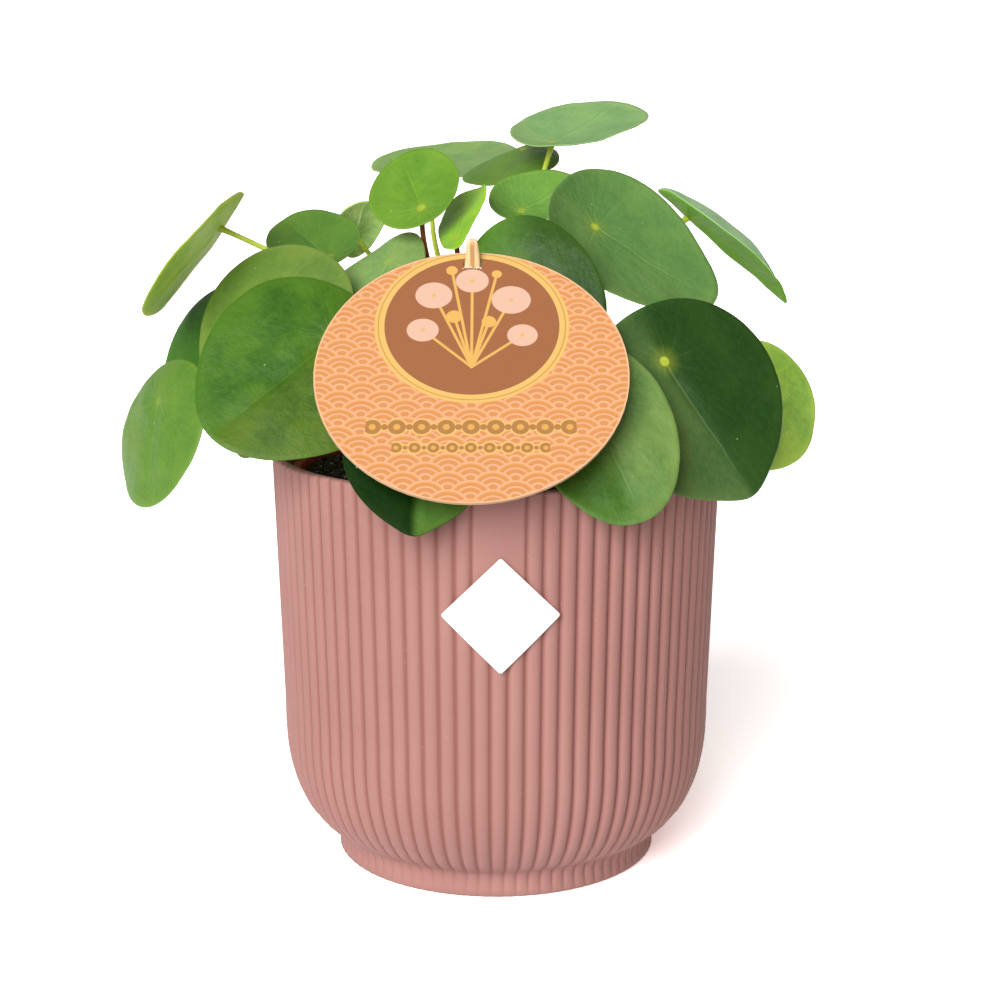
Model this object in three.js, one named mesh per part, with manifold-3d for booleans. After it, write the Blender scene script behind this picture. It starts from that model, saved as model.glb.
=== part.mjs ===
// A Chinese money plant in a ribbed pot: the pot with its blank label, the grow pot in it, the soil,
// one short stem, 27 leaves on their stalks, and a round card on a flat stick.
// Millimetres, +Z up. The origin is the middle of the pot's foot, and the front faces -Y.
import * as THREE from "three";
import { mergeVertices } from "three/addons/utils/BufferGeometryUtils.js";
import Module from "manifold-3d";

// The outer pot
const RIBS = 84;
const POINTS_PER_RIB = 3;
const RIB_DEPTH = 1.2;
const RIB_PITCH = (2 * Math.PI) / RIBS;
const POT_HEIGHT = 129;
const BAND_RIBS = 3; // the smooth band at the front is this many ribs wide
const BAND_EDGE = 0.1; // the share of a rib that its bordering grooves take
const BAND_START = 86; // it fades in here, behind the label, and runs up to the rim
const BAND_FULL = 92;
const BAND_SETBACK = 0.3;
const BAND_FACING = 0.7; // degrees that the band and the ribs are turned towards +X
// [radius over the rib crests, height]
const POT_SIDE = [
  [50.8, 0],
  [50.4, 6.5],
  [56.6, 11.6],
  [61.1, 17],
  [65.2, 27],
  [67.5, 50],
  [68.6, BAND_START],
  [68.8, BAND_FULL],
  [70, POT_HEIGHT],
];
const POT_INSIDE = [
  [0, 4],
  [46, 4],
  [46, 9],
  [54.5, 14.5],
  [61, 26],
  [63.8, 50],
  [66.6, POT_HEIGHT],
  [66.6, POT_HEIGHT + 1],
  [0, POT_HEIGHT + 1],
];
const POT_INSIDE_SIDES = 84;

// The label, a square on its corner that follows the pot
const LABEL_MIDDLE = 93; // height of its middle
const LABEL_FACING = 1.1; // degrees from the front towards +X
const LABEL_REACH = 17.3; // from its middle to where its sides would meet
const LABEL_CORNER = 0.8;
const LABEL_CORNER_POINTS = 4;
const LABEL_SIDE_POINTS = 3;
const LABEL_GAP = 0.3;
const LABEL_THICK = 0.6;
const LABEL_RINGS = 3;

// The grow pot and the soil
const GROW_POT = [
  [0, 4.3],
  [43.5, 4.3],
  [62.6, 118.5],
  [64.2, 118.5],
  [64.2, 124],
  [61.4, 124],
  [61.1, 118],
  [42.2, 6],
  [0, 6],
];
const GROW_POT_SIDES = 48;
const SOIL_FLOOR = [41.8, 6.3];
const SOIL_EDGE = [60.5, 121.5];
const SOIL_MOUND = 1.5;
const SOIL_WAVE = 0.7;
const SOIL_SIDES = 48;
const SOIL_RINGS = 4;

// The stem
const STEM = [
  [0, 60],
  [5, 60],
  [4.7, 140],
  [4.2, 166],
  [2.5, 171],
  [0, 172],
];
const STEM_SIDES = 12;
const STEM_GAP = 0.3;
const STEM_HOLE = [
  [0, STEM[0][1] - STEM_GAP],
  [STEM[1][0] + STEM_GAP, STEM[1][1] - STEM_GAP],
  [STEM[2][0] + STEM_GAP, STEM[2][1]],
  [0, STEM[2][1]],
];

// The stick and the card it holds
const STICK_AT = [-7, -25];
const STICK_WIDE = 5;
const STICK_THICK = 2.5;
const STICK_FOOT = 60;
const STICK_SHOULDER = 190;
const STICK_TIP = 196.5;
const STICK_BEVEL = 1; // height of the bevel round the tip
const STICK_TIP_SHARE = 0.55; // the tip's width next to the stick's
const STICK_GAP = 0.3;
const CARD_AT = new THREE.Vector3(-7, -54.5, 160.8);
const CARD_LEAN = 46; // degrees back from upright
const CARD_RADIUS = 45;
const CARD_THICK = 0.8;
const CARD_SIDES = 64;

// Leaves
const BLADE_THICK = 0.7;
const BLADE_RINGS = 3;
const BLADE_SIDES = 18;
const TIP_SPREAD = 0.3; // radians of the outline that the drawn-out tip takes
const STALK_FOOT_RADIUS = 0.9;
const STALK_TOP_RADIUS = 0.8;
const STALK_SIDES = 5;
const STALK_STEPS = 8;
const STALK_SINK = 0.35; // how far the stalk's end reaches into the blade
const LEAF_SHAPE = { seat: 0.3, egg: 0, tip: 0, cup: 3, fold: 0 };

// Every leaf is aimed and shaped on its own. hub: where the stalk meets the blade. turn: where the blade
// faces, from the front towards +X. rise: how far it faces up. roll: the tip's turn in the blade's plane.
// size: the outline's length and width. seat: the hub's share of the length. egg: + is wider by the tip.
// tip: how far the tip is drawn out. cup: + bows the rim down. fold: lifts both sides from the midrib.
// foot: the stalk's height on the stem. via: the point the stalk bends towards. Angles are in degrees.
const LEAVES = [
  // the left side, from the highest to the lowest
  { hub: [-86.5, 8, 197.5], turn: -97, rise: 38, roll: 25, size: [49, 48], foot: 155, via: [-57, 8, 184.5],
    seat: 0.27, egg: 0.3, cup: -1 },
  { hub: [-53, 20, 187.5], turn: -10, rise: 58, roll: 229, size: [32, 29.5], foot: 154, via: [-44, 22, 170],
    seat: 0.25, cup: -3 },
  { hub: [-47, 52, 192], turn: 200, rise: 44, roll: 178, size: [27.5, 16], foot: 156, via: [-38, 37, 180],
    egg: 0.3 },
  { hub: [-33, -4, 188], turn: -30, rise: 50, roll: -7, size: [42.5, 31.5], foot: 146, via: [-24, 0, 168],
    seat: 0.34, egg: 0.4, cup: 2 },
  { hub: [-65.5, -10, 179.5], turn: -30, rise: 31, roll: -9, size: [56, 54], foot: 142, via: [-48, 8, 164],
    egg: -0.15 },
  { hub: [-88.5, 14, 168], turn: -42, rise: 28, roll: 4, size: [47.5, 44], foot: 135, via: [-66, 24, 162] },
  { hub: [-48, -32, 168], turn: 1, rise: 37, roll: -47, size: [63, 60], foot: 138, via: [-36, -12, 150],
    seat: 0.25, egg: -0.2, cup: 2 },
  { hub: [-102, -22, 147.5], turn: -52, rise: 22, roll: 14, size: [46.5, 44], foot: 128, via: [-72, -4, 146],
    egg: -0.1 },

  // the crown
  { hub: [-23, 0, 204], turn: -26, rise: 42, roll: 215, size: [32, 29.5], foot: 160, via: [-24, 15, 178],
    seat: 0.25, cup: -1 },
  { hub: [-20, 92, 215], turn: -27, rise: 78, roll: 45, size: [55, 50], foot: 162, via: [-28, 48, 184],
    seat: 0.29, egg: -0.2, cup: -2 },
  { hub: [9, 55.5, 220], turn: -44, rise: 70, roll: 15, size: [34, 32], foot: 158, via: [3, 52, 193],
    egg: 0.35 },
  { hub: [-12.5, -6, 195.5], turn: -64, rise: 47, roll: 227, size: [35, 18], foot: 165, via: [-12, 2, 182],
    seat: 0.2, egg: 0.4, cup: 0 },
  { hub: [18, 33.5, 223], turn: -25, rise: 74, roll: 165, size: [48, 43.5], foot: 163, via: [9, 35, 192],
    seat: 0.22, egg: 0.1, cup: -2 },
  { hub: [8, 17.5, 202], turn: -6, rise: 60, roll: 133, size: [31.5, 28.5], foot: 166, via: [3, 18, 184],
    cup: -3 },
  { hub: [31, 9.5, 197.5], turn: 34, rise: 42, roll: 39, size: [61, 51], foot: 160, via: [20, 18, 178],
    seat: 0.28, egg: -0.25, cup: -4 },
  { hub: [62.5, 34, 199], turn: 82, rise: 49, roll: 6, size: [53, 30], foot: 150, via: [36, 34, 180],
    seat: 0.25, egg: 0.2, tip: 3, cup: 0, fold: 6 },
  { hub: [7, -12, 187.5], turn: -16, rise: 18, roll: 11, size: [54, 49], foot: 153, via: [4, -2, 174],
    egg: 0.15 },

  // the front and the right side
  { hub: [49.5, -36, 161.5], turn: 22, rise: 27, roll: 25, size: [61.5, 64], foot: 138, via: [40, -12, 150],
    seat: 0.28, egg: -0.1, tip: 3, cup: 0 },
  { hub: [26.5, -52.5, 153.5], turn: 6, rise: 34, roll: 18, size: [58, 43], foot: 128, via: [5, -43, 136],
    egg: -0.1, cup: 1 },
  { hub: [84, -2, 151.5], turn: 23, rise: 16, roll: -10, size: [41, 40], foot: 130, via: [70, 16, 146],
    egg: 0.15 },
  { hub: [-22, -64.5, 144], turn: 5, rise: 36, roll: -4, size: [39, 41], foot: 130, via: [-24, -42, 132],
    seat: 0.29, egg: -0.2, tip: 2, cup: 2 },

  // the back, which the photo hides
  { hub: [-66, 42, 148], turn: -120, rise: 36, roll: 0, size: [52, 48], foot: 133, via: [-52, 32, 134] },
  { hub: [-37, 69, 149], turn: -148, rise: 34, roll: 0, size: [46, 42], foot: 129, via: [-28, 44, 140] },
  { hub: [4, 74, 142], turn: 178, rise: 30, roll: 0, size: [48, 44], foot: 131, via: [2, 50, 140] },
  { hub: [46, 63, 148], turn: 150, rise: 32, roll: 0, size: [46, 42], foot: 134, via: [36, 44, 136] },
  { hub: [75, 30, 147], turn: 108, rise: 34, roll: 0, size: [42, 40], foot: 132, via: [54, 28, 136] },
  { hub: [16, 46, 180], turn: 165, rise: 50, roll: 0, size: [42, 38], foot: 150, via: [11, 34, 160],
    cup: 2 },
];

const wasm = await Module();
wasm.setup();

const radians = THREE.MathUtils.degToRad;

// A closed surface as a solid that can be joined and cut.
function solidOf(points, faces) {
  const surface = new THREE.BufferGeometry().setFromPoints(points);
  surface.setIndex(faces);
  const merged = mergeVertices(surface, 1e-4);
  return new wasm.Manifold(
    new wasm.Mesh({
      numProp: 3,
      vertProperties: merged.attributes.position.array,
      triVerts: new Uint32Array(merged.index.array),
    }),
  );
}

// Skins a row of rings, each counterclockwise seen from the end, and closes both ends on a point.
function loft(rings, start, end) {
  const count = rings[0].length;
  const points = [...rings.flat(), start, end];
  const startIndex = points.length - 2;
  const endIndex = points.length - 1;
  const lastRing = (rings.length - 1) * count;
  const faces = [];
  for (let i = 0; i < count; i++) {
    const next = (i + 1) % count;
    faces.push(startIndex, next, i);
    faces.push(endIndex, lastRing + i, lastRing + next);
    for (let level = 0; level < lastRing; level += count) {
      faces.push(level + i, level + next, level + count + next);
      faces.push(level + i, level + count + next, level + count + i);
    }
  }
  return solidOf(points, faces);
}

// A point at an angle that runs from the front (-Y) towards +X.
function around(radius, angle, height) {
  return new THREE.Vector3(radius * Math.sin(angle), -radius * Math.cos(angle), height);
}

function ring(sides, radius, heightAt) {
  return Array.from({ length: sides }, (_, i) => {
    const angle = (i * 2 * Math.PI) / sides;
    return around(radius, angle, heightAt(angle));
  });
}

// The radius of a rising profile of [radius, height] at a height.
function radiusAt(profile, height) {
  const above = profile.findIndex((level) => level[1] >= height);
  const [r0, z0] = profile[above - 1];
  const [r1, z1] = profile[above];
  return r0 + ((r1 - r0) * (height - z0)) / (z1 - z0);
}

// Turns a profile of [radius, height] that starts and ends on the axis.
function revolve(profile, sides) {
  const rings = profile.slice(1, -1).map(([radius, height]) =>
    ring(sides, radius, () => height),
  );
  const start = new THREE.Vector3(0, 0, profile[0][1]);
  const end = new THREE.Vector3(0, 0, profile.at(-1)[1]);
  return loft(rings, start, end);
}

// How far the ribs fall back from their crests at an angle from the middle of the band.
function ribFall(angle) {
  const fromCrest = angle / RIB_PITCH - Math.round(angle / RIB_PITCH);
  return RIB_DEPTH * (2 * fromCrest) ** 2;
}

function inBand(angle) {
  const fromMiddle = Math.min(angle, 2 * Math.PI - angle);
  return fromMiddle < (BAND_RIBS / 2 - BAND_EDGE) * RIB_PITCH;
}

function outerPot() {
  const sides = RIBS * POINTS_PER_RIB;
  const rings = POT_SIDE.map(([crest, height]) =>
    Array.from({ length: sides }, (_, i) => {
      const angle = ((i + POINTS_PER_RIB / 2) * 2 * Math.PI) / sides; // every valley has its own point
      const smooth = height >= BAND_FULL && inBand(angle % (2 * Math.PI));
      const radius = crest - (smooth ? BAND_SETBACK : ribFall(angle));
      return around(radius, angle + radians(BAND_FACING), height);
    }),
  );
  const body = loft(rings, new THREE.Vector3(), new THREE.Vector3(0, 0, POT_HEIGHT));
  return body.subtract(revolve(POT_INSIDE, POT_INSIDE_SIDES));
}

// The label's outline as [across, up] from its middle, counterclockwise from its right corner.
function labelOutline() {
  const outline = [];
  const cornerMiddle = LABEL_REACH - LABEL_CORNER * Math.SQRT2;
  for (let corner = 0; corner < 4; corner++) {
    const facing = (corner * Math.PI) / 2;
    const middle = [cornerMiddle * Math.cos(facing), cornerMiddle * Math.sin(facing)];
    for (let i = 0; i < LABEL_CORNER_POINTS; i++) {
      const angle = facing - Math.PI / 4 + (i * Math.PI) / 2 / (LABEL_CORNER_POINTS - 1);
      outline.push([
        middle[0] + LABEL_CORNER * Math.cos(angle),
        middle[1] + LABEL_CORNER * Math.sin(angle),
      ]);
    }
  }
  return outline.flatMap((from, i) => {
    const to = outline[(i + 1) % outline.length];
    const isSide = i % LABEL_CORNER_POINTS === LABEL_CORNER_POINTS - 1;
    const steps = isSide ? LABEL_SIDE_POINTS + 1 : 1;
    return Array.from({ length: steps }, (_, k) => [
      from[0] + ((to[0] - from[0]) * k) / steps,
      from[1] + ((to[1] - from[1]) * k) / steps,
    ]);
  });
}

function label() {
  const outline = labelOutline();
  const onPot = (across, up, lift) => {
    const height = LABEL_MIDDLE + up;
    const radius = radiusAt(POT_SIDE, height) + LABEL_GAP + lift;
    const angle = across / radiusAt(POT_SIDE, LABEL_MIDDLE) + radians(LABEL_FACING);
    return around(radius, angle, height);
  };
  const ringAt = (share, lift) => outline.map(([x, y]) => onPot(x * share, y * share, lift));
  const shares = Array.from({ length: LABEL_RINGS }, (_, i) => (i + 1) / LABEL_RINGS);
  const back = shares.map((share) => ringAt(share, 0));
  const front = shares.map((share) => ringAt(share, LABEL_THICK)).reverse();
  return loft([...back, ...front], onPot(0, 0, 0), onPot(0, 0, LABEL_THICK));
}

function soil() {
  const [floorRadius, floorHeight] = SOIL_FLOOR;
  const [edgeRadius, edgeHeight] = SOIL_EDGE;
  const topHeight = (share, angle) =>
    edgeHeight +
    SOIL_MOUND * (1 - share ** 2) +
    SOIL_WAVE * share * (1 - share) * 4 * Math.sin(5 * angle + 4 * share);
  const rings = [ring(SOIL_SIDES, floorRadius, () => floorHeight)];
  for (let i = SOIL_RINGS; i > 0; i--) {
    const share = i / SOIL_RINGS;
    rings.push(ring(SOIL_SIDES, edgeRadius * share, (angle) => topHeight(share, angle)));
  }
  const end = new THREE.Vector3(0, 0, topHeight(0, 0));
  const body = loft(rings, new THREE.Vector3(0, 0, floorHeight), end);
  return body.subtract(revolve(STEM_HOLE, STEM_SIDES)).subtract(stick(STICK_GAP));
}

// The stick, or with a gap the hole it stands in.
function stick(gap) {
  const [x, y] = STICK_AT;
  const section = (share, height) => {
    const halfWide = (STICK_WIDE * share) / 2 + gap;
    const halfThick = (STICK_THICK * share) / 2 + gap;
    const chamfer = halfThick / 2;
    return [
      [halfWide - chamfer, -halfThick],
      [halfWide, -halfThick + chamfer],
      [halfWide, halfThick - chamfer],
      [halfWide - chamfer, halfThick],
      [-halfWide + chamfer, halfThick],
      [-halfWide, halfThick - chamfer],
      [-halfWide, -halfThick + chamfer],
      [-halfWide + chamfer, -halfThick],
    ].map(([dx, dy]) => new THREE.Vector3(x + dx, y + dy, height));
  };
  const rings = [
    section(1, STICK_FOOT - gap),
    section(1, STICK_SHOULDER),
    section(STICK_TIP_SHARE, STICK_TIP - STICK_BEVEL + gap),
    section(STICK_TIP_SHARE / 2, STICK_TIP + gap),
  ];
  const start = new THREE.Vector3(x, y, STICK_FOOT - gap);
  const end = new THREE.Vector3(x, y, STICK_TIP + gap);
  return loft(rings, start, end);
}

function card() {
  const lean = radians(CARD_LEAN);
  const up = new THREE.Vector3(0, Math.sin(lean), Math.cos(lean));
  const front = new THREE.Vector3(0, -Math.cos(lean), Math.sin(lean));
  const disc = (drop) => {
    const middle = CARD_AT.clone().addScaledVector(front, -drop);
    const edge = Array.from({ length: CARD_SIDES }, (_, i) => {
      const angle = (i * 2 * Math.PI) / CARD_SIDES;
      return middle
        .clone()
        .add(new THREE.Vector3(CARD_RADIUS * Math.cos(angle), 0, 0))
        .addScaledVector(up, CARD_RADIUS * Math.sin(angle));
    });
    return { middle, edge };
  };
  const back = disc(CARD_THICK);
  const face = disc(0);
  return loft([back.edge, face.edge], back.middle, face.middle).subtract(stick(STICK_GAP));
}

// The three directions of a blade: out of its upper face, towards its tip, and across.
function bladeAxes({ turn, rise, roll }) {
  const [t, r, spin] = [turn, rise, roll].map(radians);
  const out = new THREE.Vector3(
    Math.cos(r) * Math.sin(t),
    -Math.cos(r) * Math.cos(t),
    Math.sin(r),
  );
  const down = new THREE.Vector3(
    Math.sin(r) * Math.sin(t),
    -Math.sin(r) * Math.cos(t),
    -Math.cos(r),
  );
  const towardsTip = down.applyAxisAngle(out, spin);
  const across = out.clone().cross(towardsTip);
  return { out, towardsTip, across };
}

function blade(leaf, axes) {
  const { seat, egg, tip, cup, fold } = leaf;
  const [long, wide] = leaf.size;
  const hub = new THREE.Vector3(...leaf.hub);
  const pointAt = (share, angle, drop) => {
    const fromTip = Math.atan2(Math.sin(angle), Math.cos(angle));
    const drawnOut = tip * Math.exp(-((fromTip / TIP_SPREAD) ** 2));
    const along = long * (0.5 - seat) + (long / 2) * Math.cos(angle) + drawnOut;
    const aside = Math.sin(angle) * (1 + egg * Math.cos(angle));
    const lift = -cup * share ** 2 + fold * share * Math.abs(aside);
    return hub
      .clone()
      .addScaledVector(axes.towardsTip, share * along)
      .addScaledVector(axes.across, share * aside * (wide / 2))
      .addScaledVector(axes.out, lift - drop);
  };
  const ringAt = (share, drop) =>
    Array.from({ length: BLADE_SIDES }, (_, i) => pointAt(share, (i * 2 * Math.PI) / BLADE_SIDES, drop));
  const shares = Array.from({ length: BLADE_RINGS }, (_, i) => (i + 1) / BLADE_RINGS);
  const lower = shares.map((share) => ringAt(share, BLADE_THICK));
  const upper = shares.map((share) => ringAt(share, 0)).reverse();
  const lowerHub = hub.clone().addScaledVector(axes.out, -BLADE_THICK);
  return loft([...lower, ...upper], lowerHub, hub);
}

// Where a stalk's end lies flat against the stem, at the height of its foot.
function stalkStart(leaf, via) {
  const aside = Math.hypot(via.x, via.y);
  const steepness = (via.z - leaf.foot) / Math.hypot(aside, via.z - leaf.foot);
  const fromAxis = radiusAt(STEM, leaf.foot) + STEM_GAP + STALK_FOOT_RADIUS * Math.abs(steepness);
  return new THREE.Vector3((via.x / aside) * fromAxis, (via.y / aside) * fromAxis, leaf.foot);
}

function stalk(leaf, axes) {
  const via = new THREE.Vector3(...leaf.via);
  const start = stalkStart(leaf, via);
  const end = new THREE.Vector3(...leaf.hub).addScaledVector(axes.out, -STALK_SINK);
  const path = new THREE.CubicBezierCurve3(
    start,
    start.clone().lerp(via, 2 / 3),
    end.clone().lerp(via, 2 / 3),
    end,
  );
  let side = new THREE.Vector3(0, 0, 1).cross(path.getTangent(0)).normalize();
  const rings = [];
  for (let step = 0; step <= STALK_STEPS; step++) {
    const share = step / STALK_STEPS;
    const tangent = path.getTangent(share);
    side = side.addScaledVector(tangent, -side.dot(tangent)).normalize();
    const other = tangent.clone().cross(side);
    const middle = path.getPoint(share);
    const radius = THREE.MathUtils.lerp(STALK_FOOT_RADIUS, STALK_TOP_RADIUS, share);
    rings.push(
      Array.from({ length: STALK_SIDES }, (_, i) => {
        const angle = (i * 2 * Math.PI) / STALK_SIDES;
        return middle
          .clone()
          .addScaledVector(side, radius * Math.cos(angle))
          .addScaledVector(other, radius * Math.sin(angle));
      }),
    );
  }
  return loft(rings, start, end);
}

function leafSolid(entry) {
  const leaf = { ...LEAF_SHAPE, ...entry };
  const axes = bladeAxes(leaf);
  return blade(leaf, axes).add(stalk(leaf, axes));
}

const plant = new THREE.Group();
plant.name = "money_plant";

function addPart(name, solid, colour, roughness) {
  const mesh = solid.getMesh();
  const geometry = new THREE.BufferGeometry();
  geometry.setAttribute("position", new THREE.BufferAttribute(mesh.vertProperties, 3));
  geometry.setIndex(new THREE.BufferAttribute(mesh.triVerts, 1));
  const material = new THREE.MeshStandardMaterial({ color: colour, roughness, flatShading: true });
  const part = new THREE.Mesh(geometry, material);
  part.name = name;
  plant.add(part);
}

addPart("outer_pot", outerPot(), 0xcd968e, 0.7);
addPart("label", label(), 0xf6f4f0, 0.5);
addPart("grow_pot", revolve(GROW_POT, GROW_POT_SIDES), 0x5a2a20, 0.5);
addPart("soil", soil(), 0x1c1712, 1);
addPart("stem", revolve(STEM, STEM_SIDES), 0x6b5638, 0.9);
addPart("stick", stick(0), 0xd9b27c, 0.8);
addPart("tag_card", card(), 0xfdbf9e, 0.6);
LEAVES.forEach((entry, i) => {
  addPart("leaf_" + String(i + 1).padStart(2, "0"), leafSolid(entry), 0x4c8a34, 0.45);
});

export default plant;
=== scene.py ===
"""The looks of a Chinese money plant in a ribbed pot, with a card on a stick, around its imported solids.

Lengths are in millimetres until a mesh is made. The front faces -Y.
"""

import math
from itertools import combinations

import bpy
import numpy as np
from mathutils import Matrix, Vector, noise


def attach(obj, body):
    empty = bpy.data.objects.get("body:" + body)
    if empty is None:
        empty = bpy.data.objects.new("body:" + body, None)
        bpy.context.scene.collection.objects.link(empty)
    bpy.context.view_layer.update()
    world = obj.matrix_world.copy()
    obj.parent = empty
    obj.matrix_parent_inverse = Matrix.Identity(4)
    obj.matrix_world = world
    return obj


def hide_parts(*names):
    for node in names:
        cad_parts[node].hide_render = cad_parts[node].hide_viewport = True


MM = 0.001

# The camera
CAMERA_AT = (0, -622.66, 242.9)
CAMERA_PITCH = 11.844  # degrees below level
CAMERA_LENS = 72.506  # mm, on a 36 mm sensor
CAMERA_SHIFT = 0.0039

# The light
KEY_FROM = (-0.38, -0.86, 0.47)
KEY_POWER = 3.7
KEY_SPREAD = 44  # degrees
# How bright the room is, and what is added to that on each side
ROOM_LEVEL = 0.38
ROOM_BEHIND = 0.14
ROOM_BELOW = 0.46
ROOM_SIDES = -0.24
ROOM_RIGHT = -0.06
ROOM_RIGHT_TINT = (1, 0.35, 0.22, 1)
HORIZON_LEVEL = 1.05
FLOOR_REACH = 30  # metres
FLOOR_DROP = 0.2
FLOOR_GLOW = 0.2
FLOOR_TONE = 2  # above 1, so that only the deepest shadow shows
# How much lighter than itself a surface shows in the key light
KEY_GAIN = 1.45
CARD_GAIN = 1.4
UNDER_GAIN = 1.0

# The outer pot
RIBS = 84
POINTS_PER_RIB = 12
RIB_DEPTH = 1.2
RIB_SHARPNESS = 2.3
RIB_PITCH = 2 * math.pi / RIBS
POT_HEIGHT = 129
POT_FACING = math.radians(0.7)
BAND_RIBS = 3
BAND_START = 84
BAND_FULL = 94
BAND_SETBACK = 0.3
BAND_EDGE = 0.12  # the share of a rib over which its sides rise from their valleys
# [radius over the rib crests, height]
POT_FOOT = [[50.2, 0], [50.8, 0.7], [50.6, 2.5], [50.4, 4.5], [50.5, 6], [51, 7.4], [52, 8.5], [53.6, 9.5],
            [55.3, 10.6], [56.7, 11.7], [57.9, 12.9], [59, 14.3], [60, 15.7]]
POT_WALL_START = 17
POT_WALL_END = 127.7
POT_WALL_LEVELS = 56
WALL_BEND = [67.5, 50]  # below this the wall bends in towards the foot
WALL_FLARE = 2.5  # how much wider the wall is at the rim than at its bend
BEND_INSET = 12.2  # how far in the wall has bent after BEND_DROP
BEND_DROP = 41
FOOT_RIBS = 0.12  # the share of their depth that the ribs have at the very bottom
RIBS_FULL = 12  # the height from which they have all of it
POT_RIM = [[69.98, 128.3], [69.85, 128.7], [69.5, 129]]
POT_INSIDE = [[67.3, 129], [66.9, 128.8], [66.7, 128.3], [65.6, 100], [63.8, 50], [61, 26], [54.5, 14.5],
              [46, 9], [46, 4]]

# The label
LABEL_MIDDLE = 93
LABEL_FACING = math.radians(1.1)
LABEL_REACH = 17.3
LABEL_CORNER = 0.8
LABEL_CORNER_POINTS = 8
LABEL_SIDE_POINTS = 10
LABEL_BEND = 69.1  # the radius that its width is laid round
LABEL_BACKING = 68.86  # the pot's radius behind its middle
LABEL_SLOPE = 0.0316  # how much the pot widens with height
LABEL_LIFT = 0.3
LABEL_THICK = 0.6

# The grow pot and the soil
GROW_POT = [[0, 4.3], [42.8, 4.3], [43.5, 5], [62.4, 117.6], [62.8, 118.4], [64, 118.6], [64.2, 119],
            [64.2, 123.3], [63.9, 123.8], [63.3, 124], [62.2, 124], [61.6, 123.8], [61.4, 123.3], [61.1, 118],
            [42.2, 6], [0, 6]]
GROW_POT_SIDES = 144
SOIL_FLOOR = [41.8, 6.3]
SOIL_EDGE = [60.7, 121.3]
SOIL_MIDDLE = 1.2  # the radius of the innermost ring of its surface
SOIL_MOUND = 1.5
SOIL_SIDES = 144
SOIL_RINGS = 44
GRAINS = 2600
GRAIN_MARGIN = 1.6  # from the soil's edge to the nearest grains
PALE_GRAINS = 0.3  # their share

# The stem
STEM = [[5, 60], [5, 100], [5, 118], [4.9, 130], [4.7, 140], [4.5, 152], [4.2, 162], [3.7, 167.5], [2.6, 171]]
STEM_TOP = 172
STEM_INSET = 0.1  # how much slimmer the bark is, to make room for the swellings
STEM_SIDES = 28
STEM_LEVELS = 150
SCAR_PITCH = 4.2
SCAR_TURN = 2.4  # radians from one leaf scar to the next
SCAR_DEPTH = 0.45
SWELLING = 0.25  # below each scar

# The stick
STICK_AT = (-7, -25)
STICK_WIDE = 5
STICK_THICK = 2.5
STICK_FOOT = 60
STICK_TIP = 196.5
STICK_TAPER = 187  # the height from which it narrows
STICK_SIDES = 32
STICK_SQUARENESS = 4

# The card
CARD_AT = Vector((-7, -54.5, 160.8))
CARD_LEAN = math.radians(46)
CARD_UP = (0, math.sin(CARD_LEAN), math.cos(CARD_LEAN))
CARD_OUT = (0, -math.cos(CARD_LEAN), math.sin(CARD_LEAN))
CARD_RADIUS = 45
DISC_BLUR = 0.12  # of the print's edges
BAR_BLUR = 0.1
WAVE_RADIUS = 6.2  # of one scale of the pattern
# The bands of a scale, as shares of its radius, round the one in its middle
WAVE_MIDDLE = 0.28
WAVE_BANDS = [[0.66, 0.93], [0.36, 0.6]]
WAVE_BLUR = 0.03
MEDALLION_UP = 17.4
MEDALLION_RADIUS = 28.2
MEDALLION_INSIDE = 25.3
# The sprig: [its place across and up, its radius] for each flower and bud
SPRIG_FLOWERS = [[0, 34, 4.4], [-11.2, 28.5, 4.9], [11.4, 26.8, 5.2], [-14.2, 15.5, 4.2], [14.6, 13.6, 4]]
SPRIG_BUDS = [[-5.2, 20.5, 2.3], [4.9, 18.6, 2.1], [-6, 38, 1.7], [7.2, 36.6, 1.5]]
SPRIG_FOOT = (0, 2)
SPRIG_STALK = 0.42
# The rows of beads: [height, half length, pitch, radius of a bead]
BEAD_ROWS = [[-19.2, 29.5, 6.9, 2.5], [-26.3, 22, 5.2, 1.7]]
# The torn fibres round the stick
TEARS = 9
TEARS_FROM = -2.7
TEAR_PITCH = 0.68
TEAR_DROP = 2.1  # below the middle of the slot
TEAR_SINK = 0.05

# The leaves
BLADE_THICK = 0.7
RIM_THICK = 0.45
BLADE_SIDES = 84
BLADE_RINGS = 20
TIP_SPREAD = 0.3
GROOVE_WIDTH = 2.4  # of the fold along the midrib
GROOVE_START = 6
DIMPLE_RADIUS = 2.6  # of the hollow over the stalk
DIMPLE_DEPTH = 0.25
VEINS = 9
STALK_STEPS = 36
STALK_SIDES = 12
STALK_START = 4.6  # from the stem's axis
STALK_SINK = 0.6  # from the blade's upper face down to the stalk's end
STALK_RADIUS = 0.9
STALK_TAPER = 0.12
FOOT_SWELLING = 0.5
TOP_SWELLING = 0.45
LEAF_SHAPE = {"seat": 0.3, "egg": 0, "tip": 0, "cup": 3, "fold": 0, "wave": 0.5, "crease": 0.5, "bulge": 0.5,
              "soft": 0.35, "blotch": 0.3, "spot": 0.6, "shine": 0.22, "stalk": 0.3, "under": (128, 158, 90)}

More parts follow.
